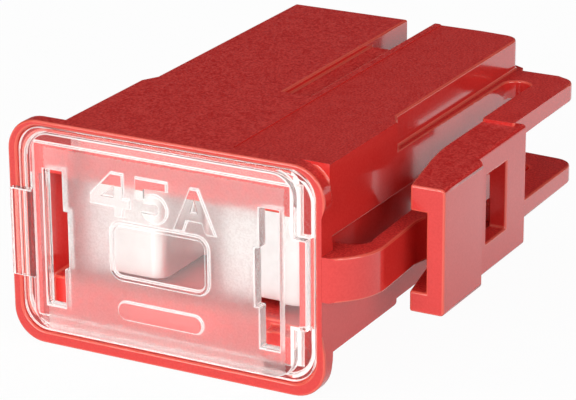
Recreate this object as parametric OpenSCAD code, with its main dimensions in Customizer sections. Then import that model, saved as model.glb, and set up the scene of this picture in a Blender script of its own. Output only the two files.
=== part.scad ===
// Cartridge fuse with a clear cap, two female terminals and a sprung lock arm.
// It lies on its wide side: X across, Y from the cap (-Y) to the terminals (+Y), Z up.

/* [Flange] */
// Width of the flange round the cap
flange_w = 15.5; // [14.5:0.1:18.6]
// Height of the flange, and of the whole body
flange_h = 10.35; // [9.9:0.05:12.5]
// Thickness of the flange
flange_t = 0.75; // [0.7:0.05:1.2]
// Corner radius of the flange
flange_r = 1.5; // [0.8:0.1:1.8]

/* [Body] */
// Length from the flange's front face to the terminal end
body_len = 21; // [17.5:0.5:26]
// Flange overhang beyond the body's side walls
side_lip = 0.15; // [0.05:0.05:0.3]
// Sideways offset of the upper pad's short side from the side wall
pad_inset = 2.4; // [1.8:0.1:3]
// How far the keyed corners are cut in from the top and the bottom
key_h = 1.9; // [1.5:0.1:2.3]
// Length of the full-width front stretch, behind the flange
front_len = 6.3; // [4:0.1:8]
// How far the pads step in behind that stretch
rear_step = 0.4; // [0.2:0.05:0.6]
// Radius of each pad's outer corner at the terminal end
end_r = 0.8; // [0.3:0.1:1]
// Depth of the shallow relief along each pad
relief_d = 0.05; // [0.03:0.01:0.1]
// Width of that relief
relief_w = 4.55; // [4:0.05:4.8]
// Drop from the top face to the ledge beside it
ledge_drop = 1.45; // [1.2:0.05:1.8]
// Thickness of the top and bottom walls, and of the wall below the centre slot
wall = 0.6; // [0.5:0.05:0.8]
// Thickness of the side walls at the terminals
side_wall = 1.2; // [1.1:0.05:1.5]

/* [Centre slot] */
// Width of the slot between the two legs
slot_w = 1.35; // [0.8:0.05:1.6]
// Distance of the slot's middle from the centre plane
slot_off = 1.95; // [1.8:0.05:2.1]
// Length of the whole slot
slot_len = 12.55; // [8:0.1:14]
// Length of its deep stretch, at the terminal end
slot_deep_len = 3.85; // [2:0.1:6]
// Depth of the shallow stretch
slot_shallow = 0.3; // [0.1:0.05:0.5]

/* [Terminal cavities] */
// Width of a cavity
cavity_w = 3.9; // [3.6:0.1:4]
// Height of a cavity
cavity_h = 4.8; // [4.4:0.1:4.9]
// Depth of the tall room behind the cap, from the flange's front face
room_d = 1.2; // [0.8:0.1:1.8]
// Room left in the link chamber behind the tin pellet
chamber_play = 0.25; // [0.1:0.05:0.5]

/* [Lock arm] */
// How far the flange is cut away below the arm
notch_under = 2.375; // [1.8:0.025:2.6]
// How far the flange is cut away above the arm
notch_over = 2.175; // [1.6:0.025:2.4]
// How far the cut's lower end slants down towards the outside
notch_slant_low = 0.8; // [0.2:0.1:1.2]
// How far the cut's upper end slants up towards the outside
notch_slant_high = 0.5; // [0.2:0.1:1.2]
// Height of the arm's band
arm_h = 2; // [1.6:0.1:2.4]
// How far the arm's middle lies above the body's middle
arm_off = 0.325; // [0:0.025:0.4]
// Thickness of the arm
arm_t = 0.8; // [0.6:0.05:1]
// Gap between the arm and the side wall
arm_gap = 0.95; // [0.8:0.05:1.2]
// Radius of the bend that carries the arm out from the flange
arm_r = 2.7; // [2.4:0.1:3]
// Depth of the recess in the side wall behind the arm
recess_d = 0.6; // [0.3:0.05:0.65]
// Height of that recess
recess_h = 2.8; // [2.4:0.1:3]
// How far the recess reaches above the arm
recess_up = 0.55; // [0.3:0.05:0.7]

/* [Latch] */
// Distance of the thumb pad's face from the side wall
pad_out = 3.7; // [3.4:0.1:4.2]
// Height of the latch block
latch_h = 5.7; // [5.2:0.1:6]
// Depth of the step from the pad's face to the block's face
latch_step = 0.5; // [0.3:0.1:0.7]
// Thickness of the block's upright web
web_t = 0.85; // [0.7:0.05:1]
// Distance of the lips' inner edge from the side wall, at the thumb pad
lip_out = 2.1; // [1.8:0.1:2.4]
// Length of the thumb pad
pad_len = 3.8; // [3:0.1:4.2]
// Length of the stepped-in stretch behind it
mid_len = 5.2; // [4.5:0.1:6]
// Distance of the pad's front edge from the flange's front face
latch_y = 4; // [3.5:0.1:4.5]
// Thickness of the upper lip
lip_top_t = 1.15; // [0.9:0.05:1.3]
// Thickness of the lower lip
lip_low_t = 0.95; // [0.8:0.05:1.1]
// Length of the window through the web
window_l = 2.1; // [1.6:0.1:2.4]
// Height of the window
window_h = 3.15; // [2.4:0.05:3.4]
// Height of the window's lower edge above the block's lower face
window_up = 1.45; // [1.2:0.05:1.6]
// Thickness of the two wings that join the block to the body
wing_t = 0.85; // [0.7:0.05:1]
// Outer edge of the wings from the side wall
wing_out = 2.85; // [2.6:0.05:3]
// Slot between the wings and the side wall
wing_gap = 1.3; // [1:0.05:1.5]
// Width of the bridge from a wing to the body
bridge_w = 1.5; // [1.2:0.1:2]
// How far the wings end short of the body's end
wing_short = 0.75; // [0.4:0.05:1.2]
// Height of the lower wing's underside above the block's lower face
wing_up = 1; // [0.8:0.05:1.2]
// Radius of a wing's outer rear corner
wing_r = 1; // [0.5:0.1:1.2]

/* [Cap] */
// How far the cap's raised panel stands out of the flange
cap_proud = 0.3; // [0.15:0.05:0.6]
// How deep the cap's seat is cut into the flange
cap_seat = 0.3; // [0.2:0.05:0.35]
// How far the plate's margin lies below the flange's face
cap_sink = 0.08; // [0:0.02:0.1]
// Red border left round the cap at its sides
cap_border = 0.45; // [0.4:0.05:0.7]
// Red border left above the cap
cap_border_top = 0.25; // [0.2:0.05:0.4]
// Play between the cap and its seat
cap_play = 0.05; // [0.03:0.01:0.1]
// Depth of the rib behind the plate
rib_d = 0.25; // [0.15:0.05:0.25]
// Width of the rib at the sides
rib_w = 0.5; // [0.4:0.05:0.7]
// Width of the margin beside the raised panel
margin_w = 0.85; // [0.65:0.05:1]
// How far the panel's side tabs reach back over the margin
tab_w = 0.6; // [0.2:0.05:0.6]
// How far the lapping tab stays inside the flange's edge
lap_set = 0.2; // [0.1:0.05:0.4]
// How far in from a terminal's back the middle of its probe slot lies
probe_in = 1.1; // [1:0.05:1.2]
// Width of a probe slot
probe_w = 0.95; // [0.8:0.05:1.1]
// Length of a probe slot
probe_l = 6.3; // [5.4:0.1:6.8]
// Length of its wider middle stretch
probe_mid_l = 2.65; // [2:0.05:3.4]
// How much wider that stretch is
probe_step = 0.22; // [0.15:0.01:0.3]
// Height of the panel's side tabs
tab_h = 4.05; // [3:0.05:4.6]
// Height of the raised figures and rims
raise = 0.12; // [0.08:0.02:0.2]
// Width of the strokes of the rating figures
stroke = 0.42; // [0.3:0.02:0.5]
// Height of the rating figures
figure_h = 1.95; // [1.7:0.05:2]
// Distance of the figures' feet above the cap's middle
figure_up = 1.57; // [1.5:0.01:1.7]
// Width of the raised rim's outline
rim_w = 4.9; // [4.2:0.1:5.2]
// Height of that outline
rim_h = 2.7; // [2.4:0.1:2.8]
// Width of the raised line that makes the rim
rim_line = 0.2; // [0.14:0.02:0.3]
// Width of the plain bar below the rim
bar_w = 4.2; // [3.6:0.1:4.6]
// Height of the plain bar
bar_h = 0.85; // [0.6:0.05:1]
// Gap between the rim and the bar
bar_gap = 0.95; // [0.8:0.05:1]

/* [Fuse element] */
// Thickness of the metal strip
strip_t = 0.4; // [0.3:0.05:0.5]
// Thickness of the blade that a terminal takes
blade_t = 0.8; // [0.6:0.05:0.9]
// Outer radius of the lips that roll in onto the blade
roll_r = 0.95; // [0.85:0.05:1]
// Play above and below a terminal in its cavity
strip_play = 0.1; // [0.05:0.05:0.2]
// Distance of a terminal's mouth from the body's end
mouth_set = 1.2; // [0.8:0.1:2]
// Length of the rolled grips
grip_len = 8; // [5:0.5:10]
// How far the link's edges stand in from a terminal's sides
link_step = 0.25; // [0.2:0.05:0.5]
// Distance of the link's front plates from the flange's front face
link_y = 2.3; // [1.9:0.1:2.6]
// Distance of the link's folded back from the flange's front face
link_back = 6.3; // [5.6:0.1:6.4]
// Distance of the fold's two sides from the centre plane
fold_x = 1.25; // [1:0.05:1.6]
// Radius of the bends into the legs
bend_r = 1.5; // [1:0.1:1.8]
// Radius of the bends at the fold
fold_r = 0.65; // [0.55:0.05:0.8]
// Height of the neck at the back of the fold
neck_h = 1.3; // [1:0.1:1.8]
// Width of the notches that leave the neck
neck_w = 1; // [0.8:0.1:1.2]
// Radius of the tin pellet behind the neck
pellet_r = 0.55; // [0.4:0.05:0.6]
// Thickness of the pellet
pellet_t = 0.45; // [0.3:0.05:0.5]

/* [Hidden] */
$fn = 48;
eps = 0.01;
over = 1;
red = [0.76, 0.12, 0.13];
clear = [0.93, 0.86, 0.84, 0.4];
tin = [0.82, 0.82, 0.84];

half_w = flange_w / 2;
side_x = half_w - side_lip;
mid_z = flange_h / 2;
pad_x = side_x - pad_inset;
step_y = flange_t + front_len;
step_run = 0.75;
key_rise = 0.25;
ledge_z = flange_h - ledge_drop;

cavity_x = side_x - side_wall - cavity_w / 2;
cavity_out = side_x - side_wall;
cavity_lo = mid_z - cavity_h / 2;
cavity_hi = mid_z + cavity_h / 2;
slot_floor = cavity_hi + wall;
chamber_d = link_back + pellet_t + chamber_play;

arm_z = mid_z + arm_off - arm_h / 2;
arm_top = arm_z + arm_h;
arm_in = side_x + arm_gap;
arm_out = arm_in + arm_t;
arm_cy = arm_r - 0.3;
arm_root_r = 0.9;
arm_root_y = 2.85;
arm_root_in = 0.7;
arm_taper = 0.15;
arm_bite = 0.1;
recess_z = arm_top + recess_up - recess_h;
recess_y = 1.05;
notch_lo = arm_z - notch_under;
notch_hi = arm_top + notch_over;

pad_face = side_x + pad_out;
block_face = pad_face - latch_step;
web_in = block_face - web_t;
latch_hi = ledge_z - 0.15;
latch_lo = latch_hi - latch_h;
lip_x = side_x + lip_out;
lip_back = latch_y + 4.4;
lip_bevel = 1.1;
wing_x = side_x + wing_gap;
wing_face = side_x + wing_out;
jog = 0.55;
block_y = latch_y + pad_len + jog;
block_end = block_y + mid_len;
window_y = block_y + 1;
window_z = latch_lo + window_up;
wing_end = body_len - wing_short;
wing_root = block_end - 0.6;
wing_low_z = latch_lo + wing_up;
edge_r = 0.2;

cap_hw = half_w - cap_border;
cap_lo = cap_border + 0.1;
cap_hi = flange_h - cap_border_top;
cap_r = flange_r - 0.3;
panel_hw = cap_hw - margin_w;
panel_lo = cap_lo + 0.3;
panel_hi = cap_hi - 0.15;
panel_r = cap_r - 0.2;
tab_lo = mid_z - tab_h / 2;
tab_hi = mid_z + tab_h / 2;
rib_set = 0.25;
rib_x = cap_hw - rib_set;
rib_lo = cap_lo + rib_set;
rib_hi = cap_hi - rib_set;
cap_back = cap_seat + rib_d;
face_y = -cap_proud;
front_y = face_y - raise;
probe_x = cavity_out - probe_in;
figure_x = [-3.35, -1.25, 0.75];
figure_w = [1.95, 1.85, 2.05];
figure_lift = [0.03, 0, -0.05];
rim_z = mid_z + 0.05 - rim_h / 2;
rim_r = 0.6;

term_h = cavity_h - 2 * strip_play;
link_h = term_h - 2 * link_step;
grip_end = body_len - mouth_set;
leg_x = cavity_out - strip_t;
bend_x = cavity_out - bend_r;
fold_in = fold_x + strip_t - fold_r;
link_lo = mid_z - link_h / 2;

x_lo = -half_w;
x_hi = pad_face;
y_mid = (front_y + body_len) / 2;

// Everything is drawn from the flange's front face, then set on the middle of its own footprint.
module placed() {
  translate([-(x_lo + x_hi) / 2, -y_mid, 0]) children();
}

// Outlines in the X-Z plane, extruded along Y

// Extrudes an X-Z outline from y0 to y1
module along_y(y0, y1) {
  translate([0, y1, 0]) rotate([90, 0, 0]) linear_extrude(y1 - y0) children();
}

// Rectangle between two corners
module rect(x0, z0, x1, z1) {
  translate([x0, z0]) square([x1 - x0, z1 - z0]);
}

// Rectangle between two corners, with round corners
module round_rect(x0, z0, x1, z1, r) {
  rect(x0 + r, z0, x1 - r, z1);
  rect(x0, z0 + r, x1, z1 - r);
  for (x = [x0 + r, x1 - r], z = [z0 + r, z1 - r]) translate([x, z]) circle(r);
}

// The same outline turned half a turn about the body's middle
module half_turn() {
  translate([0, 2 * mid_z]) rotate(180) children();
}

// Housing

module flange() {
  along_y(0, flange_t) round_rect(-half_w, 0, half_w, flange_h, flange_r);
}

// Plan of one pad: full width in front, stepped in behind
module pad_plan() {
  polygon([
    [-pad_x, flange_t - eps],
    [side_x, flange_t - eps],
    [side_x, step_y],
    [side_x - rear_step, step_y + step_run],
    each arc(side_x - rear_step - end_r, body_len - end_r, end_r, 0, 90),
    [-pad_x + rear_step, body_len],
    [-pad_x + rear_step, step_y + step_run],
    [-pad_x, step_y]
  ]);
}

// Upper half of the body: it is keyed, so its lower edge stays above the opposite pad's side
module upper_half() {
  translate([0, 0, mid_z]) linear_extrude(mid_z) pad_plan();
  translate([0, 0, key_h]) linear_extrude(mid_z - key_h + eps) pad_plan();
  translate([0, 0, key_h + key_rise]) linear_extrude(ledge_z - key_h - key_rise) wall_plan();
}

// Plan of the side wall, which keeps its full width to the end
module wall_plan() {
  polygon([
    [0, flange_t - eps],
    [side_x, flange_t - eps],
    each arc(side_x - end_r, body_len - end_r, end_r, 0, 90),
    [0, body_len]
  ]);
}

module body_block() {
  upper_half();
  translate([0, 0, 2 * mid_z]) rotate([0, 180, 0]) upper_half();
}

// Keyed outline of the body, drawn in by t at the top and bottom and by s at the sides
module keyed(t, s) {
  rect(-pad_x + t, key_h + t, side_x - s, flange_h - t);
  half_turn() rect(-pad_x + t, key_h + t, side_x - s, flange_h - t);
}

// Room for the cap's plate and for the rib behind it
module cap_room() {
  along_y(-over, cap_seat) cap_outline(0);
  along_y(-over, cap_back) round_rect(-rib_x, rib_lo, rib_x, rib_hi, cap_r);
}

// Room for the link and the two terminals, which slide in from the cap's side.
// It is tall behind the cap, and as high as the cavities from there on.
module hollows() {
  along_y(0, room_d) intersection() {
    keyed(wall, side_wall);
    rect(-cavity_out, cap_lo, cavity_out, rib_hi);
  }
  along_y(room_d - eps, chamber_d) rect(-cavity_out, cavity_lo, cavity_out, cavity_hi);
  for (side = [-1, 1]) {
    translate([side * cavity_x - cavity_w / 2, chamber_d - eps, cavity_lo])
      cube([cavity_w, body_len, cavity_h]);
  }
}

// Slot between the legs: a shallow stretch, then a deep one open at the end
module centre_slot() {
  translate([slot_off - slot_w / 2, body_len - slot_len, flange_h - slot_shallow])
    cube([slot_w, slot_len + over, slot_shallow + over]);
  translate([slot_off - slot_w / 2, body_len - slot_deep_len, slot_floor])
    cube([slot_w, slot_deep_len + over, flange_h - slot_floor + over]);
}

module both_slots() {
  centre_slot();
  translate([0, 0, 2 * mid_z]) rotate([0, 180, 0]) centre_slot();
}

// Shallow relief along the outer side of a pad
module relief() {
  translate([side_x - relief_w, flange_t, flange_h - relief_d])
    cube([relief_w + over, body_len, relief_d + over]);
}

module both_reliefs() {
  relief();
  translate([0, 0, 2 * mid_z]) rotate([0, 180, 0]) relief();
}

// Recess that lets the arm spring towards the body
module arm_recess() {
  translate([side_x - recess_d, recess_y, recess_z])
    cube([recess_d + over, block_end - recess_y, recess_h]);
}

// The flange's overhang is cut away where the arm leaves it
module arm_notch() {
  along_y(-over, flange_t) polygon([
    [side_x, notch_lo + notch_slant_low],
    [half_w, notch_lo],
    [half_w + over, notch_lo],
    [half_w + over, notch_hi],
    [half_w, notch_hi],
    [side_x, notch_hi - notch_slant_high]
  ]);
}

// Points on an arc about (cx, cy), in plan
function arc(cx, cy, r, a0, a1, n = 10) = [
  for (i = [0:n]) let (a = a0 + (a1 - a0) * i / n) [cx + r * cos(a), cy + r * sin(a)]
];

// Band that bends out of the flange, runs back along the wall and bends into the latch web
module lock_arm() {
  outer = concat(
    arc(arm_out - arm_r, arm_cy, arm_r, -62, 0),
    [[arm_out - arm_taper, latch_y + 1.6], [arm_out - arm_taper / 3, latch_y + 2.4]],
    [[web_in + arm_bite, block_y - arm_bite]]
  );
  inner = concat(
    [[web_in + arm_bite, block_y + 0.9], [arm_in - arm_taper, latch_y + 2.9]],
    arc(arm_in - arm_root_r, arm_root_y, arm_root_r, 0, -90, 6),
    [[side_x - arm_root_in, arm_root_y - arm_root_r], [side_x - arm_root_in, 0]]
  );
  translate([0, 0, arm_z]) linear_extrude(arm_h) polygon(concat(outer, inner));
}

// Section of the latch block in X-Z, with its outer corners rounded
module block_section(face, lo, hi, inner) {
  rect(inner, lo, face - edge_r, hi);
  rect(face - 2 * edge_r, lo + edge_r, face, hi - edge_r);
  for (z = [lo + edge_r, hi - edge_r]) translate([face - edge_r, z]) circle(edge_r);
}

// Plan of the latch block: pad, slanted step, then the stepped-in stretch
module latch_plan() {
  polygon([
    [lip_x, latch_y],
    [pad_face + eps, latch_y],
    [pad_face + eps, latch_y + pad_len],
    [block_face + eps, block_y],
    [block_face + eps, block_end],
    [wing_x, block_end],
    [wing_x, lip_back],
    [wing_x + arm_taper, lip_back - lip_bevel]
  ]);
}

module latch_block() {
  difference() {
    intersection() {
      translate([0, 0, latch_lo]) linear_extrude(latch_h) latch_plan();
      union() {
        along_y(latch_y, block_y) block_section(pad_face, latch_lo, latch_hi, side_x);
        along_y(block_y - jog, block_end) block_section(block_face, latch_lo, latch_hi, side_x);
      }
    }
    latch_channel();
  }
}

// The block is a channel that opens towards the body, with a window through its web
module latch_channel() {
  lo = latch_lo + lip_low_t;
  h = latch_h - lip_low_t - lip_top_t;
  translate([0, 0, lo]) linear_extrude(h) polygon([
    [side_x, latch_y - over],
    [pad_face - web_t, latch_y - over],
    [pad_face - web_t, latch_y + pad_len - 0.3],
    [block_face - web_t, block_y - 0.2],
    [block_face - web_t, block_end + over],
    [side_x, block_end + over]
  ]);
  translate([side_x, window_y, window_z]) cube([pad_out + over, window_l, window_h]);
}

// Plate from the block to the bridge on the body, rounded at its outer rear corner
module wing(z) {
  translate([0, 0, z]) linear_extrude(wing_t) difference() {
    union() {
      translate([side_x - eps, wing_root]) square([wing_out - wing_r + eps, wing_end - wing_root]);
      translate([side_x, wing_root]) square([wing_out, wing_end - wing_r - wing_root]);
      translate([wing_face - wing_r, wing_end - wing_r]) circle(wing_r);
    }
    wing_slot();
  }
}

// Slot between a wing and the body, round at the bridge
module wing_slot() {
  end = wing_end - bridge_w;
  translate([side_x, block_end - over]) square([wing_gap, end - wing_gap / 2 - block_end + over]);
  translate([side_x + wing_gap / 2, end - wing_gap / 2]) circle(wing_gap / 2);
}

module housing() {
  color(red) placed() {
    difference() {
      union() {
        flange();
        body_block();
      }
      cap_room();
      hollows();
      both_slots();
      both_reliefs();
      arm_recess();
      arm_notch();
    }
    difference() {
      lock_arm();
      cap_room();
    }
    latch_block();
    wing(ledge_z - wing_t);
    wing(wing_low_z);
  }
}

// Cap

// Outline of the plate, and of the seat that it lies in
module cap_outline(play) {
  round_rect(-cap_hw + play, cap_lo + play, cap_hw - play, cap_hi - play, cap_r);
}

// Outline of the raised panel, with a tab at each side
module panel_outline() {
  round_rect(-panel_hw, panel_lo, panel_hw, panel_hi, panel_r);
  rect(-panel_hw - tab_w, tab_lo, panel_hw + tab_w, tab_hi);
}

// The tab away from the arm laps over the flange's front
module lapping_tab() {
  rect(-half_w + lap_set, tab_lo, -panel_hw, tab_hi);
}

// Rib behind the plate, open where the arm leaves the flange
module cap_rib() {
  difference() {
    round_rect(-rib_x + cap_play, rib_lo + cap_play, rib_x - cap_play, rib_hi - cap_play, cap_r);
    rect(-rib_x + rib_w, rib_lo + rib_w, rib_x - rib_w, rib_hi - rib_w);
    rect(0, tab_lo, rib_x + over, tab_hi);
  }
}

// Stepped slot for a test probe, wider towards the middle of the cap
module probe_slot() {
  edge = probe_x + probe_w / 2;
  rect(edge - probe_w, mid_z - probe_l / 2, edge, mid_z + probe_l / 2);
  rect(edge - probe_w - probe_step, mid_z - probe_mid_l / 2, edge, mid_z + probe_mid_l / 2);
}

// Rating figures in a cell w wide and h high, each with strokes of one width
module figure_four(w, h) {
  post = w * 0.62;
  foot = h * 0.22;
  bar = foot + stroke;
  difference() {
    polygon([
      [post, 0], [post + stroke, 0], [post + stroke, foot], [w, foot], [w, bar],
      [post + stroke, bar], [post + stroke, h], [post - stroke * 0.4, h],
      [0, bar], [0, foot], [post, foot]
    ]);
    polygon([[stroke * 1.3, bar], [post, bar], [post, h - stroke * 1.2]]);
  }
}

module figure_five(w, h) {
  bowl = h / 3;
  stem = w * 0.08;
  rect(stem, h - stroke, w - stem, h);
  rect(stem, h / 2, stem + stroke, h);
  translate([w - stem - bowl, bowl]) intersection() {
    difference() {
      circle(bowl);
      circle(bowl - stroke);
    }
    union() {
      rect(0, -bowl, bowl, bowl);
      rect(-bowl, -bowl, 0, -bowl / 3);
      rect(-bowl * 0.8, bowl / 3, 0, bowl);
    }
  }
}

module letter_amp(w, h) {
  top = stroke * 0.45;
  slant = stroke * 1.15;
  bar_z = h / 4;
  lean = bar_z * 0.38;
  hole_z = bar_z + stroke * 0.9;
  difference() {
    polygon([[0, 0], [w / 2 - top, h], [w / 2 + top, h], [w, 0]]);
    polygon([[slant, 0], [slant + lean, bar_z], [w - slant - lean, bar_z], [w - slant, 0]]);
    polygon([[w / 2 - top, hole_z], [w / 2, h - stroke], [w / 2 + top, hole_z]]);
  }
}

// One figure's place in the row
module figure_at(i) {
  translate([figure_x[i], mid_z + figure_up + figure_lift[i]]) children();
}

module rating_figures() {
  figure_at(0) figure_four(figure_w[0], figure_h);
  figure_at(1) figure_five(figure_w[1], figure_h);
  figure_at(2) letter_amp(figure_w[2], figure_h);
}

// Polished window over the link, and a plain bar below it
module raised_rims() {
  bar_hi = rim_z - bar_gap;
  difference() {
    round_rect(-rim_w / 2, rim_z, rim_w / 2, rim_z + rim_h, rim_r);
    round_rect(
      -rim_w / 2 + rim_line, rim_z + rim_line,
      rim_w / 2 - rim_line, rim_z + rim_h - rim_line, rim_r - rim_line
    );
  }
  round_rect(-bar_w / 2, bar_hi - bar_h, bar_w / 2, bar_hi, bar_h / 2 - eps);
}

module cap() {
  color(clear) placed() {
    difference() {
      union() {
        along_y(cap_sink, cap_seat) cap_outline(cap_play);
        along_y(face_y, cap_seat) panel_outline();
        along_y(face_y, 0) lapping_tab();
        along_y(cap_seat - eps, cap_back) cap_rib();
        along_y(front_y, face_y + eps) rating_figures();
        along_y(front_y, face_y + eps) raised_rims();
      }
      along_y(front_y - over, cap_back + over) probe_slot();
      along_y(front_y - over, cap_back + over) mirror([1, 0]) probe_slot();
    }
  }
}

// Fuse element

// Section of a female terminal: a flat back, and two side walls whose edges roll in onto the blade
module terminal_section() {
  roll_x = cavity_out - strip_t - blade_t - roll_r;
  flat = term_h / 2 - strip_t;
  translate([0, mid_z]) {
    rect(cavity_out - strip_t, -flat - eps, cavity_out, flat + eps);
    for (side = [0, 1]) mirror([0, side]) {
      rect(roll_x - eps, flat, cavity_out - strip_t + eps, flat + strip_t);
      translate([cavity_out - strip_t, flat]) intersection() {
        circle(strip_t);
        square(strip_t);
      }
      translate([roll_x, term_h / 2 - roll_r]) difference() {
        circle(roll_r);
        circle(roll_r - strip_t);
        square(roll_r);
      }
    }
  }
}

// Quarter of a bend of outer radius r, on the side that sx and sy point to
module bend(x, y, r, sx, sy) {
  translate([x, y]) intersection() {
    difference() {
      circle(r);
      circle(r - strip_t);
    }
    rect(min(0, sx * r), min(0, sy * r), max(0, sx * r), max(0, sy * r));
  }
}

// Plan of half the strip: leg, bend, front plate, then a fold that runs back and across
module strip_plan() {
  rect(leg_x, link_y + bend_r - eps, cavity_out, grip_end - grip_len + eps);
  bend(bend_x, link_y + bend_r, bend_r, 1, -1);
  rect(fold_x + fold_r - eps, link_y, bend_x + eps, link_y + strip_t);
  bend(fold_x + fold_r, link_y + fold_r, fold_r, -1, -1);
  rect(fold_x, link_y + fold_r - eps, fold_x + strip_t, link_back - fold_r + eps);
  bend(fold_in, link_back - fold_r, fold_r, 1, 1);
  rect(-eps, link_back - strip_t, fold_in + eps, link_back);
}

// Round-ended notches above and below the neck
module neck_notches() {
  half = neck_h / 2 + neck_w / 2;
  for (side = [-1, 1]) {
    translate([0, mid_z + side * half]) circle(neck_w / 2);
    translate([-neck_w / 2, mid_z + (side < 0 ? -half - link_h : half)]) square([neck_w, link_h]);
  }
}

module fuse_element() {
  color(tin) placed() {
    for (side = [0, 1]) mirror([side, 0, 0]) along_y(grip_end - grip_len, grip_end) terminal_section();
    difference() {
      translate([0, 0, link_lo]) linear_extrude(link_h) for (side = [0, 1]) mirror([side, 0]) strip_plan();
      along_y(link_back - strip_t - over, link_back + over) neck_notches();
    }
  }
}

// Tin pellet on the back of the neck
module tin_pellet() {
  color(tin) placed() translate([0, link_back, mid_z])
    rotate([-90, 0, 0]) cylinder(r = pellet_r, h = pellet_t);
}

housing();
cap();
fuse_element();
tin_pellet();
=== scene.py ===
import bpy
import bmesh
import math
from mathutils import Matrix, Vector
from mathutils.bvhtree import BVHTree


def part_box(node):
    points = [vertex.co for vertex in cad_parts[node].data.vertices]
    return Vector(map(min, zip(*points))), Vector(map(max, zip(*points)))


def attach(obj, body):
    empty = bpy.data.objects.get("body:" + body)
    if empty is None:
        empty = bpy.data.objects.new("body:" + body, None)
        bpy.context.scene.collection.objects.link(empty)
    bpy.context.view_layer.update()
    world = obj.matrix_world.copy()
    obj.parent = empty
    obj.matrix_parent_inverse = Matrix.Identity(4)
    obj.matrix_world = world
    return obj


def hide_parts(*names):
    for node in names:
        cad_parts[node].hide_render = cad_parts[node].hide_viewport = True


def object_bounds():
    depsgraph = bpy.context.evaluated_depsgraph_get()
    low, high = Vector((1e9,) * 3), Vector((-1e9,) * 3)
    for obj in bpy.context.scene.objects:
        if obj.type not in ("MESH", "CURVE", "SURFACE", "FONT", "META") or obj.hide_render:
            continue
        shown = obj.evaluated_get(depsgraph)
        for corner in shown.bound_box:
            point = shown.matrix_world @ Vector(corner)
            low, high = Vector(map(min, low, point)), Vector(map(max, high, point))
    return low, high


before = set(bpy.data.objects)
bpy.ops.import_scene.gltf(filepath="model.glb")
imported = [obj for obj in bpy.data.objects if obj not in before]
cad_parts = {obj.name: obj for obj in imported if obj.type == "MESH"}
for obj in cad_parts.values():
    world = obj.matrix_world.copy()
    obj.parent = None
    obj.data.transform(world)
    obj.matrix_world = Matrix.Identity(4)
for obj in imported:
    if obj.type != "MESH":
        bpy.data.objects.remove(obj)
cadLow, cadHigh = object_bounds()
mm = 0.001
scene = bpy.context.scene
print("frame loaded:", ", ".join(sorted(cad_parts)))

# the CAD puts the fuse on its wide side: X across, -Y to the cap, Z up
housingLow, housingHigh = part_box("housing")
capLow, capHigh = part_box("cap")
elementLow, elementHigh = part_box("fuse_element")
capMiddle = (elementLow.x + elementHigh.x) / 2
bodyMiddle = (housingLow.z + housingHigh.z) / 2


# small helpers for node materials

def newMaterial(name):
    material = bpy.data.materials.new(name)
    material.use_nodes = True
    tree = material.node_tree
    tree.nodes.clear()
    output = tree.nodes.new("ShaderNodeOutputMaterial")
    return material, tree, output


def addNode(tree, kind, inputs=None, **settings):
    node = tree.nodes.new(kind)
    for key, value in settings.items():
        setattr(node, key, value)
    for key, value in (inputs or {}).items():
        if isinstance(value, bpy.types.NodeSocket):
            tree.links.new(value, node.inputs[key])
        else:
            node.inputs[key].default_value = value
    return node


def calc(tree, operation, first, second=0.0, clamp=False):
    node = addNode(tree, "ShaderNodeMath", {0: first, 1: second}, operation=operation, use_clamp=clamp)
    return node.outputs[0]


def multiply(tree, first, second):
    return calc(tree, "MULTIPLY", first, second)


def spread(tree, value, amount):
    # a value from 0 to 1 becomes one around zero, amount wide
    return multiply(tree, calc(tree, "SUBTRACT", value, 0.5), amount)


def fade(tree, value, low, high, outLow=0.0, outHigh=1.0):
    node = addNode(tree, "ShaderNodeMapRange", {"Value": value, "From Min": low, "From Max": high,
                                                "To Min": outLow, "To Max": outHigh}, clamp=True)
    node.interpolation_type = "SMOOTHSTEP"
    return node.outputs["Result"]


def blend(tree, share, low, high):
    return fade(tree, share, 0, 1, low, high)


def grain(tree, place, size, detail=3.0, rough=0.55):
    node = addNode(tree, "ShaderNodeTexNoise", {"Vector": place, "Scale": 1 / size, "Detail": detail,
                                                "Roughness": rough})
    return node.outputs["Fac"]


def mixColour(tree, share, first, second):
    # sockets 0, 6 and 7 of a Mix node are its factor and its two colours
    return addNode(tree, "ShaderNodeMix", {0: share, 6: first, 7: second}, data_type="RGBA").outputs[2]


def objectPlace(tree):
    return addNode(tree, "ShaderNodeTexCoord").outputs["Object"]


def facing(tree, axis):
    # how squarely a face looks along an axis, either way
    normal = addNode(tree, "ShaderNodeNewGeometry").outputs["Normal"]
    return calc(tree, "ABSOLUTE", addNode(tree, "ShaderNodeSeparateXYZ", {"Vector": normal}).outputs[axis])


def roundedEdge(tree):
    return addNode(tree, "ShaderNodeAttribute", attribute_name="edgeShare").outputs["Fac"]


# red moulded plastic

redPlastic = {
    "colour": (0.53, 0.004, 0.004, 1),
    # the pale speckle is partly the fine grain of the eroded faces and partly painted glints, mostly on the
    # top faces
    "paleGlintColour": (0.76, 0.058, 0.048, 1),
    "edgeHighlightColour": (0.72, 0.090, 0.060, 1),        # painted highlight: the rounded edges are paler, standing in for the light they catch
    "sideTo": 0.55, "topFrom": 0.9,               # how squarely a side and a top face look up or down
    "sideRoughness": 0.16,      # polished mould faces at the sides
    "topRoughness": 0.46,       # finely eroded mould faces, top and underside
    "roughnessSpread": 0.16,
    "grainSize": 0.10 * mm,
    "grainHeight": 0.010 * mm,
    "sideGrain": 0.12,          # share of the grain's height that the sides keep
    "mottleSize": 0.50 * mm,
    "mottleShare": 0.15,        # the rest of the speckle is fine grain
    "speckleFrom": 0.39, "speckleTo": 0.61,
    "sideSpeckle": 0.15,        # share of the speckle that the sides keep
    "flowSize": 3.0 * mm,       # slow waves that moulded sides have
    "flowHeight": 0.004 * mm,
    "refraction": 1.5,
    "coat": 0.50,               # on the sides alone
    "coatRoughness": 0.08,
}


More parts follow.
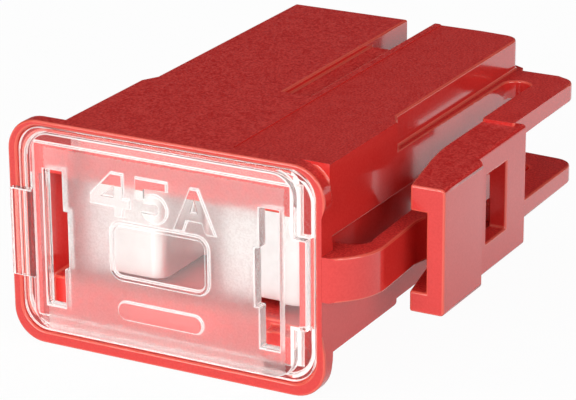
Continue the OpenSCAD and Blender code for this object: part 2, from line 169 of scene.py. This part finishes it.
def makeRedPlastic():
    p = redPlastic
    material, tree, output = newMaterial("redPlastic")
    place = objectPlace(tree)
    upDown = fade(tree, facing(tree, "Z"), p["sideTo"], p["topFrom"])
    fine = grain(tree, place, p["grainSize"], detail=4.0, rough=0.6)
    mottle = grain(tree, place, p["mottleSize"], rough=0.6)
    slow = grain(tree, place, p["flowSize"], detail=1.0, rough=0.4)
    speckle = calc(tree, "ADD", multiply(tree, fine, 1 - p["mottleShare"]),
                   multiply(tree, mottle, p["mottleShare"]))
    speckle = fade(tree, speckle, p["speckleFrom"], p["speckleTo"])
    speckle = calc(tree, "ADD", 0.5, spread(tree, speckle, blend(tree, upDown, p["sideSpeckle"], 1.0)))
    # pale speckle: real grain together with painted glints
    colour = mixColour(tree, speckle, p["colour"], p["paleGlintColour"])
    # painted highlight along the rounded edges
    colour = mixColour(tree, roundedEdge(tree), colour, p["edgeHighlightColour"])
    roughness = calc(tree, "ADD", blend(tree, upDown, p["sideRoughness"], p["topRoughness"]),
                     spread(tree, mottle, p["roughnessSpread"]))
    flowBump = addNode(tree, "ShaderNodeBump", {"Height": slow, "Distance": p["flowHeight"], "Strength": 1.0})
    grainBump = addNode(tree, "ShaderNodeBump", {
        "Height": fine, "Distance": p["grainHeight"], "Strength": blend(tree, upDown, p["sideGrain"], 1.0),
        "Normal": flowBump.outputs[0]})
    shader = addNode(tree, "ShaderNodeBsdfPrincipled", {
        "Base Color": colour, "Roughness": roughness, "Normal": grainBump.outputs[0], "IOR": p["refraction"],
        "Coat Weight": blend(tree, upDown, p["coat"], 0.0), "Coat Roughness": p["coatRoughness"],
        "Coat IOR": p["refraction"]})
    tree.links.new(shader.outputs[0], output.inputs["Surface"])
    return material


# clear plastic of the cap: polished at its edges and window, frosted between

clearPlastic = {
    "colour": (1.0, 0.985, 0.97, 1),
    "frostLeft": -5.72 * mm,    # from the cap's middle
    "frostRight": 6.04 * mm,
    "frostLow": -4.43 * mm,     # from the body's middle
    "frostHigh": 4.17 * mm,
    "windowHalf": 2.3 * mm,
    "windowLow": -1.2 * mm,
    "windowHigh": 1.3 * mm,
    "raisedTo": 0.09 * mm,      # figures and rims lie in front of this, from the cap's front
    "faceTo": 0.17 * mm,        # and the frosted face between it and this
    "wallTo": 0.5, "frontFrom": 0.8,              # how squarely a wall and a front face look along Y
    "ribDepth": 0.23 * mm,      # the rib behind the plate, from the cap's back
    "frostBlur": 0.06 * mm,     # how softly the frost, the window and the other areas end
    "windowBlur": 0.02 * mm,
    "partBlur": 0.01 * mm,
    "refraction": 1.49,
    "frostRoughness": 0.47,
    "clearRoughness": 0.01,
    "frostHaze": 0.10,          # share of the light that each surface scatters back
    "frostRimLight": 0.14,       # painted light: the frosted field is brighter towards its top and bottom
    "rimFrom": 2.4 * mm, "rimTo": 4.3 * mm,       # heights between which it rises, from the body's middle
    "figureHaze": 0.10,
    "clearHaze": 0.035,
    "ribHaze": 0.16,
    # painted highlight: the side ribs are made near white
    "sideRibHighlightHaze": 0.85,
    "sideRib": 6.4 * mm,        # the side ribs lie beyond this, from the cap's middle
    "barFrom": 6.1 * mm,        # a strip above and below the tab on the arm's side, painted white as a highlight
    "barHighlightHaze": 0.80,
    "tabHalf": 2.03 * mm,
    "plateDepth": 0.27 * mm,    # the back of the plate, from the cap's back
    "wallHaze": 0.15,           # on the walls of the probe slots
    # painted highlight: the rounded edges scatter white
    "edgeHighlightHaze": 0.62,
    "windowHaze": 0.055,
    "grainSize": 0.09 * mm,
    "grainHeight": 0.006 * mm,
    "speckleFrom": 0.34, "speckleTo": 0.66,       # levels of the grain that its haze and roughness span
    "speckleLow": 0.65, "speckleHigh": 1.35,      # and how far they vary
    "tintFrom": 0.38, "tintTo": 0.62,             # levels of the grain that its colour spans
    "lampTint": (0.91, 0.905, 0.90, 1),           # what lamp light keeps at each surface that it passes
    "frostTint": (0.38, 0.385, 0.385, 1),
    "grainColour": (0.86, 0.83, 0.815, 1),
}


def above(tree, value, level, blur, outLow=0.0, outHigh=1.0):
    # 1 where the value lies above a level, 0 below it, and soft between
    return fade(tree, value, level - blur, level + blur, outLow, outHigh)


def between(tree, value, low, high, blur):
    return multiply(tree, above(tree, value, low, blur), above(tree, value, high, blur, 1.0, 0.0))


def makeClearPlastic():
    p = clearPlastic
    material, tree, output = newMaterial("clearPlastic")
    place = objectPlace(tree)
    at = addNode(tree, "ShaderNodeSeparateXYZ", {"Vector": place}).outputs
    across = calc(tree, "SUBTRACT", at["X"], capMiddle)
    height = calc(tree, "SUBTRACT", at["Z"], bodyMiddle)
    depth = calc(tree, "SUBTRACT", at["Y"], capLow.y)
    farAcross = calc(tree, "ABSOLUTE", across)
    farUp = calc(tree, "ABSOLUTE", height)
    blur = p["partBlur"]

    # where each finish lies
    zone = multiply(tree, between(tree, across, p["frostLeft"], p["frostRight"], p["frostBlur"]),
                    between(tree, height, p["frostLow"], p["frostHigh"], p["frostBlur"]))
    window = multiply(tree, between(tree, across, -p["windowHalf"], p["windowHalf"], p["windowBlur"]),
                      between(tree, height, p["windowLow"], p["windowHigh"], p["windowBlur"]))
    notWindow = calc(tree, "SUBTRACT", 1.0, window)
    frontal = fade(tree, facing(tree, "Y"), p["wallTo"], p["frontFrom"])
    face = multiply(tree, frontal, between(tree, depth, p["raisedTo"], p["faceTo"], blur))
    raised = above(tree, depth, p["raisedTo"], blur, 1.0, 0.0)
    rib = above(tree, at["Y"], capHigh.y - p["ribDepth"], blur)
    # haze of the rib, with a painted highlight on the side ribs
    ribHazeAndHighlight = above(tree, farAcross, p["sideRib"], blur, p["ribHaze"], p["sideRibHighlightHaze"])
    outside = multiply(tree, above(tree, across, p["barFrom"], blur), above(tree, farUp, p["tabHalf"], blur))
    bar = multiply(tree, above(tree, at["Y"], capHigh.y - p["plateDepth"], blur), outside)
    wall = multiply(tree, multiply(tree, zone, calc(tree, "SUBTRACT", 1.0, frontal)),
                    calc(tree, "SUBTRACT", 1.0, raised))
    edge = roundedEdge(tree)
    frosty = multiply(tree, multiply(tree, multiply(tree, zone, face), notWindow),
                      calc(tree, "SUBTRACT", 1.0, edge))

    # the haze that each of them has
    fine = grain(tree, place, p["grainSize"], rough=0.65)
    speckle = fade(tree, fine, p["speckleFrom"], p["speckleTo"], p["speckleLow"], p["speckleHigh"])
    haze = blend(tree, notWindow, p["windowHaze"], p["clearHaze"])
    # the side ribs, the bars and the rounded edges carry painted highlights in their haze
    for mask, level in ((raised, p["figureHaze"]), (wall, p["wallHaze"]), (rib, ribHazeAndHighlight),
                        (bar, p["barHighlightHaze"]), (edge, p["edgeHighlightHaze"])):
        haze = blend(tree, mask, haze, level)
    # frost haze, with painted light towards the top and the bottom of the field
    frostHazeAndRimLight = fade(tree, farUp, p["rimFrom"], p["rimTo"], p["frostHaze"], p["frostRimLight"])
    haze = blend(tree, frosty, haze, multiply(tree, speckle, frostHazeAndRimLight))

    grained = mixColour(tree, fade(tree, fine, p["tintFrom"], p["tintTo"]), p["colour"], p["grainColour"])
    colour = mixColour(tree, frosty, p["colour"], grained)
    roughness = calc(tree, "ADD", p["clearRoughness"],
                     multiply(tree, frosty, multiply(tree, speckle, p["frostRoughness"])))
    bump = addNode(tree, "ShaderNodeBump", {"Height": fine, "Distance": p["grainHeight"], "Strength": frosty})
    shader = addNode(tree, "ShaderNodeBsdfPrincipled", {
        "Base Color": colour, "Roughness": roughness, "IOR": p["refraction"], "Normal": bump.outputs[0],
        "Transmission Weight": calc(tree, "SUBTRACT", 1.0, haze, clamp=True)})
    lamps = addNode(tree, "ShaderNodeLightPath")
    clear = addNode(tree, "ShaderNodeBsdfTransparent", {
        "Color": mixColour(tree, frosty, p["lampTint"], p["frostTint"])})
    mixed = addNode(tree, "ShaderNodeMixShader", {0: lamps.outputs["Is Shadow Ray"], 1: shader.outputs[0],
                                                  2: clear.outputs[0]})
    tree.links.new(mixed.outputs[0], output.inputs["Surface"])
    return material


# bright tin plate

tinPlate = {
    "colour": (0.95, 0.95, 0.945, 1),
    "shadeColour": (0.88, 0.875, 0.87, 1),
    "cloudSize": 1.2 * mm,      # slow changes in the plating
    "cloudFrom": 0.35, "cloudTo": 0.7,
    "roughness": 0.36,
    "roughnessSpread": 0.2,
    "rollLines": 0.05 * mm,     # fine lines from the rolling mill
    "lineStretch": 0.08,
    "lineHeight": 0.0015 * mm,
    "lineStrength": 0.6,
}


def makeTinPlate():
    p = tinPlate
    material, tree, output = newMaterial("tinPlate")
    place = objectPlace(tree)
    stretched = addNode(tree, "ShaderNodeMapping", {
        "Vector": place, "Scale": (p["lineStretch"], p["lineStretch"], 1.0)}).outputs[0]
    lines = grain(tree, stretched, p["rollLines"], detail=2.0, rough=0.5)
    cloud = grain(tree, place, p["cloudSize"], rough=0.6)
    colour = mixColour(tree, fade(tree, cloud, p["cloudFrom"], p["cloudTo"]), p["colour"], p["shadeColour"])
    roughness = calc(tree, "ADD", p["roughness"], spread(tree, cloud, p["roughnessSpread"]))
    bump = addNode(tree, "ShaderNodeBump", {"Height": lines, "Distance": p["lineHeight"],
                                            "Strength": p["lineStrength"]})
    shader = addNode(tree, "ShaderNodeBsdfPrincipled", {
        "Base Color": colour, "Metallic": 1.0, "Roughness": roughness, "Normal": bump.outputs[0]})
    tree.links.new(shader.outputs[0], output.inputs["Surface"])
    return material


# moulded and stamped pieces, with the small edge radii that the tools leave

rounding = {
    "sharpFrom": 32,         # degrees between two faces from which their edge is rounded
    "roomUsed": 0.5,         # share of a narrow face that a radius may take
    "near": 0.02,            # mm, within which a corner counts as the same
    "rounds": 12,
    "segments": 2,
    "smoothWithin": 50,      # degrees between two faces up to which the shading runs on
    "flatWithin": 0.5,       # degrees between two faces that count as one
    "merge": 0.002,          # mm, corners closer than this become one
    "radius": {"housing": 0.10, "cap": 0.05, "fuse_element": 0.04},   # mm
    "shallow": 0.35,         # sine of the angle below which a neighbouring edge takes no room
    "noLength": 1e-6,        # mm, shorter edges have no direction
    "noWeight": 1e-12,       # face areas squared, less gives no direction
    "tiny": 1e-4,            # square mm, smaller faces aren't judged
    "offSurface": 0.6,       # share of the radius beyond which a corner has left the solid
    "onSurface": 0.3,        # and within which a face should look the solid's way
    "turnedFace": 0.2,       # least agreement between such a face and the solid
    "turnedTriangle": 0.35,  # and between a triangle and its face
}


def reach(edge, vert, face):
    # how far an edge can be rounded into a face at one of its ends
    other = next((e for e in vert.link_edges if e is not edge and face in e.link_faces), None)
    if other is None:
        return math.inf
    along = edge.other_vert(vert).co - vert.co
    aside = other.other_vert(vert).co - vert.co
    if min(along.length, aside.length) < rounding["noLength"]:
        return 0.0
    turn = math.sin(along.angle(aside))
    return math.inf if turn < rounding["shallow"] else aside.length * turn


def sharpEdges(bm, radius, keepSharp):
    chosen = []
    for edge in bm.edges:
        if len(edge.link_faces) != 2 or math.degrees(edge.calc_face_angle(0)) < rounding["sharpFrom"]:
            continue
        room = min(reach(edge, vert, face) for vert in edge.verts for face in edge.link_faces)
        kept = any((vert.co - spot).length < rounding["near"] for vert in edge.verts for spot in keepSharp)
        if kept or rounding["roomUsed"] * room < radius:
            edge.smooth = False
        else:
            chosen.append(edge)
    return chosen


def faults(bm, surface, radius):
    # corners where the rounding left the surface or turned a face over
    r = rounding
    offSurface, onSurface = r["offSurface"] * radius, r["onSurface"] * radius
    spots = [vert.co.copy() for vert in bm.verts if surface.find_nearest(vert.co)[3] > offSurface]
    for face in bm.faces:
        if face.calc_area() > r["tiny"]:
            middle = face.calc_center_median()
            nearest = surface.find_nearest(middle)      # place, direction, face and distance
            if nearest[3] < onSurface and nearest[1].dot(face.normal) < r["turnedFace"]:
                spots.append(middle)
    for triangle in bm.calc_loop_triangles():       # a face whose outline crosses itself
        a, b, c = [corner.vert.co for corner in triangle]
        turned = (b - a).cross(c - a)
        along = turned.dot(triangle[0].face.normal)
        if turned.length > r["tiny"] and along < r["turnedTriangle"] * turned.length:
            spots += [a.copy(), b.copy(), c.copy()]
    return spots


def roundedMesh(node):
    # works in millimetres, and tries again with the corners that fail kept sharp
    r = rounding
    radius, flatWithin = r["radius"][node], math.radians(r["flatWithin"])
    source = bmesh.new()
    source.from_mesh(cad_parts[node].data)
    bmesh.ops.scale(source, vec=(1 / mm, 1 / mm, 1 / mm), verts=source.verts)
    surface = BVHTree.FromBMesh(source)
    keepSharp = []
    for attempt in range(r["rounds"]):
        bm = source.copy()
        bmesh.ops.remove_doubles(bm, verts=bm.verts, dist=r["merge"])
        bmesh.ops.dissolve_degenerate(bm, dist=r["merge"], edges=bm.edges)
        bmesh.ops.dissolve_limit(bm, angle_limit=flatWithin, verts=bm.verts, edges=bm.edges)
        chosen = sharpEdges(bm, radius, keepSharp)
        corners = [vert.co.copy() for edge in chosen for vert in edge.verts]
        made = bmesh.ops.bevel(bm, geom=chosen, offset=radius, offset_type="OFFSET", segments=r["segments"],
                               profile=0.5, affect="EDGES", clamp_overlap=False, loop_slide=True, material=-1,
                               miter_outer="SHARP", miter_inner="SHARP")
        spots = faults(bm, surface, radius)
        if not spots:
            break
        keepSharp += [min(corners, key=lambda corner: (corner - spot).length) for spot in spots]
        if attempt < r["rounds"] - 1:
            bm.free()
    source.free()
    low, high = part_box(node)
    for vert in bm.verts:                                   # a rounded corner stays inside the node's own box
        vert.co = [min(max(value, low[i] / mm), high[i] / mm) for i, value in enumerate(vert.co)]
    edgeShare = bm.loops.layers.float.new("edgeShare")      # 1 on the rounded edges, for the materials
    rounded = set(made["faces"])
    for face in bm.faces:
        face.smooth = True
        for corner in face.loops:
            corner[edgeShare] = 1.0 if face in rounded else 0.0
    bmesh.ops.scale(bm, vec=(mm, mm, mm), verts=bm.verts)
    print(node, "rounded in", attempt + 1, "rounds,", len(chosen), "edges,", len(spots), "faults left")
    return bm


def cornerNormals(bm):
    # a corner takes the mean of the faces that lie within a small angle of its own, the large ones most,
    # so that flat faces stay flat and no corner turns away from its face
    limit = math.cos(math.radians(rounding["smoothWithin"]))
    areas = {face: face.calc_area() / mm ** 2 for face in bm.faces}
    normals = []
    for face in bm.faces:
        for corner in face.loops:
            total = Vector((0, 0, 0))
            for other in corner.vert.link_faces:
                if other is face or other.normal.dot(face.normal) > limit:
                    total += other.normal * areas[other] ** 2
            known = total.length > rounding["noWeight"]
            normals.append(total.normalized() if known else face.normal.copy())
    return normals


def addPiece(node, pieceName, bm, material):
    # a finished mesh becomes the piece that stands in for a CAD node
    mesh = bpy.data.meshes.new(pieceName)
    bm.to_mesh(mesh)
    bm.free()
    mesh.materials.append(material)
    piece = bpy.data.objects.new(pieceName, mesh)
    scene.collection.objects.link(piece)
    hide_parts(node)
    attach(piece, "root")
    return mesh


def roundedCopy(node, pieceName, material):
    bm = roundedMesh(node)
    bm.normal_update()
    normals = cornerNormals(bm)
    addPiece(node, pieceName, bm, material).normals_split_custom_set(normals)


redMaterial = makeRedPlastic()
clearMaterial = makeClearPlastic()
tinMaterial = makeTinPlate()
print("materials made")

roundedCopy("housing", "housingMoulding", redMaterial)
roundedCopy("cap", "capMoulding", clearMaterial)
roundedCopy("fuse_element", "stampedElement", tinMaterial)
print("moulded and stamped pieces made")


# tin pellet: a pressed disc with a slumped dome

pelletShape = {
    "rings": 10, "sides": 40,
    "rim": 0.75,             # share of the thickness where the dome starts
    "domeFullness": 0.7,     # below 1 the dome stays wide for longer
    "slump": 0.03 * mm,      # how far the rim wavers in and out
    "lobes": 3, "lobesFrom": 0.7,                 # how many times, and where they start, in radians
}


def makePellet():
    p = pelletShape
    low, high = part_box("tin_pellet")
    middle = (low + high) / 2
    radius = (high.x - low.x) / 2
    thick = high.y - low.y
    bm = bmesh.new()
    rings = []
    profile = [(1.0, 0.0), (1.0, p["rim"] * thick)]
    for i in range(1, p["rings"]):
        turn = math.radians(90 * i / p["rings"])
        profile.append((math.cos(turn) ** p["domeFullness"],
                        (p["rim"] + (1 - p["rim"]) * math.sin(turn)) * thick))
    for share, rise in profile:
        ring = []
        for k in range(p["sides"]):
            angle = 2 * math.pi * k / p["sides"]
            wave = 1 - p["slump"] / radius * (0.5 + 0.5 * math.sin(p["lobes"] * angle + p["lobesFrom"]))
            ring.append(bm.verts.new((middle.x + radius * share * wave * math.cos(angle), low.y + rise,
                                      middle.z + radius * share * wave * math.sin(angle))))
        rings.append(ring)
    for a, b in zip(rings, rings[1:]):
        for k in range(p["sides"]):
            n = (k + 1) % p["sides"]
            bm.faces.new((a[k], a[n], b[n], b[k]))
    bm.faces.new(rings[0][::-1])
    top = bm.verts.new((middle.x, low.y + thick, middle.z))
    for k in range(p["sides"]):
        bm.faces.new((rings[-1][k], rings[-1][(k + 1) % p["sides"]], top))
    bmesh.ops.recalc_face_normals(bm, faces=bm.faces)
    for face in bm.faces:
        face.smooth = len(face.verts) < p["sides"]      # all but the flat underside
    addPiece("tin_pellet", "tinPellet", bm, tinMaterial)


makePellet()
print("pellet made")


# floor, lamps and camera

floorLook = {
    "flat": 0.50, "radius": 0.90, "rise": 0.07,     # a flat disc whose rim curves up, so low views stay white
    "sides": 96, "steps": 12,
    "below": 0.02 * mm,                             # gap under the fuse
    "colour": (0.93, 0.93, 0.93, 1), "darkColour": (0.91, 0.91, 0.91, 1),
    "paperGrain": mm / 0.9,
    "paperFrom": 0.3, "paperTo": 0.7,
    "glow": 0.96,
    "nearGlow": 0.35,                               # in reflections, close to the fuse, where its shade lies
    "nearFrom": 9 * mm, "nearTo": 24 * mm,
}


def makeFloor():
    f = floorLook
    bm = bmesh.new()
    sides, steps = f["sides"], f["steps"]
    centre = bm.verts.new((0, 0, 0))
    rings = []
    for i in range(steps + 1):
        turn = math.radians(90 * i / steps)
        radius = f["flat"] + (f["radius"] - f["flat"]) * math.sin(turn)
        height = f["rise"] * (1 - math.cos(turn))
        angles = [2 * math.pi * k / sides for k in range(sides)]
        rings.append([bm.verts.new((radius * math.cos(angle), radius * math.sin(angle), height))
                      for angle in angles])
    for k in range(sides):
        n = (k + 1) % sides
        bm.faces.new((centre, rings[0][k], rings[0][n]))
        for inner, outer in zip(rings, rings[1:]):
            bm.faces.new((inner[k], outer[k], outer[n], inner[n])).smooth = True
    mesh = bpy.data.meshes.new("floor")
    bm.to_mesh(mesh)
    bm.free()
    floor = bpy.data.objects.new("floor", mesh)
    floor.location.z = -f["below"]
    scene.collection.objects.link(floor)
    material, tree, output = newMaterial("floorWhite")
    rays = addNode(tree, "ShaderNodeLightPath")
    place = objectPlace(tree)
    away = addNode(tree, "ShaderNodeVectorMath", {0: place}, operation="LENGTH").outputs["Value"]
    near = fade(tree, away, f["nearFrom"], f["nearTo"], f["nearGlow"] / f["glow"], 1.0)
    seen = multiply(tree, rays.outputs["Is Glossy Ray"], near)
    seen = calc(tree, "MAXIMUM", seen, rays.outputs["Is Camera Ray"])
    seen = calc(tree, "MAXIMUM", seen, rays.outputs["Is Transmission Ray"])
    fibre = fade(tree, grain(tree, place, f["paperGrain"]), f["paperFrom"], f["paperTo"])
    paper = mixColour(tree, fibre, f["colour"], f["darkColour"])
    lit = addNode(tree, "ShaderNodeBsdfDiffuse", {"Color": paper})
    white = addNode(tree, "ShaderNodeEmission", {"Color": (1, 1, 1, 1), "Strength": 1.0})
    mixed = addNode(tree, "ShaderNodeMixShader", {0: multiply(tree, seen, f["glow"]),
                                                  1: lit.outputs[0], 2: white.outputs[0]})
    tree.links.new(mixed.outputs[0], output.inputs["Surface"])
    mesh.materials.append(material)


# where each lamp stands from the fuse, its size, and the level that it gives a white surface facing it
softboxes = {
    "frontLamp": {"from": (-0.16, -0.95, 0.24), "distance": 0.45, "size": (0.36, 0.20), "level": 0.80},
    "sideLamp": {"from": (0.88, -0.42, 0.34), "distance": 0.45, "size": (0.34, 0.26), "level": 0.52},
    "topLamp": {"from": (-0.45, -0.34, 0.83), "distance": 0.50, "size": (0.24, 0.24), "level": 0.15},
}


def makeLamps():
    aim = Vector((0, 0, bodyMiddle))
    for name, lamp in softboxes.items():
        data = bpy.data.lights.new(name, "AREA")
        data.shape = "RECTANGLE"
        data.size, data.size_y = lamp["size"]
        data.energy = lamp["level"] * math.pi ** 2 * lamp["distance"] ** 2
        holder = bpy.data.objects.new(name, data)
        way = Vector(lamp["from"]).normalized()
        holder.location = aim + way * lamp["distance"]
        holder.rotation_euler = way.to_track_quat("Z", "Y").to_euler()
        scene.collection.objects.link(holder)


worldLevel = {
    "low": 0.03, "high": 0.40,      # near the horizon, and overhead
    "from": 0.45, "to": 0.95,       # heights between which the one becomes the other, 1 is straight up
}


def makeWorld():
    world = bpy.data.worlds.new("studio")
    world.use_nodes = True
    tree = world.node_tree
    tree.nodes.clear()
    output = tree.nodes.new("ShaderNodeOutputWorld")
    around = addNode(tree, "ShaderNodeTexCoord").outputs["Generated"]
    way = addNode(tree, "ShaderNodeSeparateXYZ", {"Vector": around})
    level = fade(tree, way.outputs["Z"], worldLevel["from"], worldLevel["to"], worldLevel["low"],
                 worldLevel["high"])
    shade = addNode(tree, "ShaderNodeCombineColor", {"Red": level, "Green": level, "Blue": level})
    sky = addNode(tree, "ShaderNodeBackground", {"Color": shade.outputs[0], "Strength": 1.0})
    tree.links.new(sky.outputs[0], output.inputs["Surface"])
    scene.world = world


cameraView = {
    "azimuth": 28.48, "elevation": 20.07, "roll": -0.424,   # degrees
    "distance": 125.76 * mm, "lens": 175.0, "sensor": 36.0,
    "near": 0.005, "far": 10.0,
    "aim": (-0.472 * mm, -1.53 * mm, -0.049 * mm),          # from the middle of the fuse
}


def makeCamera():
    v = cameraView
    a, e = math.radians(v["azimuth"]), math.radians(v["elevation"])
    back = Vector((math.sin(a) * math.cos(e), -math.cos(a) * math.cos(e), math.sin(e)))
    right = Vector((math.cos(a), math.sin(a), 0))
    up = back.cross(right)
    aim = Vector(v["aim"]) + (cadLow + cadHigh) / 2
    data = bpy.data.cameras.new("camera")
    data.lens = v["lens"]
    data.sensor_width = v["sensor"]
    data.clip_start = v["near"]
    data.clip_end = v["far"]
    camera = bpy.data.objects.new("camera", data)
    turn = Matrix((right, up, back)).transposed().to_4x4()
    camera.matrix_world = (Matrix.Translation(aim + back * v["distance"]) @ turn
                           @ Matrix.Rotation(math.radians(v["roll"]), 4, "Z"))
    scene.collection.objects.link(camera)
    scene.camera = camera


makeFloor()
makeLamps()
makeWorld()
makeCamera()
scene.view_settings.view_transform = "Standard"
print("floor, lamps and camera placed")
